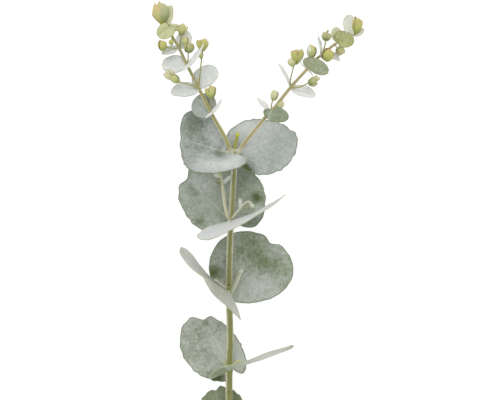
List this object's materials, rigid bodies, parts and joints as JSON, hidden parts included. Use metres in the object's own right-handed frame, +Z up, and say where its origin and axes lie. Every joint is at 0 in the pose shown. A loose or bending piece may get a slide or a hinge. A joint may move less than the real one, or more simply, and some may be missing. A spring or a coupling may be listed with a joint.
{
  "type": "eucalyptus branch",
  "caption": "Cut eucalyptus branch lying down: a straight stem with five pairs of round blue-green leaves, forking at the top into two slender shoots with small leaves and stalked buds.",
  "frame": {"origin": "on the table, under the middle of the branch's bounding box", "axes": "+Y along the branch from its cut end to its flowering tips, +X across it, +Z up from the table"},
  "size_m": [0.1269, 0.312, 0.0598],
  "materials": {
    "stem_olive": "smooth green bark, satin",
    "leaf_glaucous": "waxy grey bloom, matt",
    "shoot_pale_green": "young growth, satin"
  },
  "bodies": {
    "root": {"main_stem": "stem_olive", "fork_leaf_left": "leaf_glaucous", "fork_leaf_right": "leaf_glaucous", "second_leaf_under": "leaf_glaucous", "second_leaf_upright": "leaf_glaucous", "third_leaf_under": "leaf_glaucous", "third_leaf_upright": "leaf_glaucous", "fourth_leaf_under": "leaf_glaucous", "fourth_leaf_upright": "leaf_glaucous", "fifth_leaf_under": "leaf_glaucous", "fifth_leaf_upright": "leaf_glaucous", "left_shoot": "shoot_pale_green", "right_shoot": "shoot_pale_green", "terminal_bud": "shoot_pale_green", "second_sprout_left": "shoot_pale_green", "second_sprout_right": "shoot_pale_green", "third_sprout_right": "shoot_pale_green", "third_sprout_left": "shoot_pale_green"}
  },
  "joints": []
}
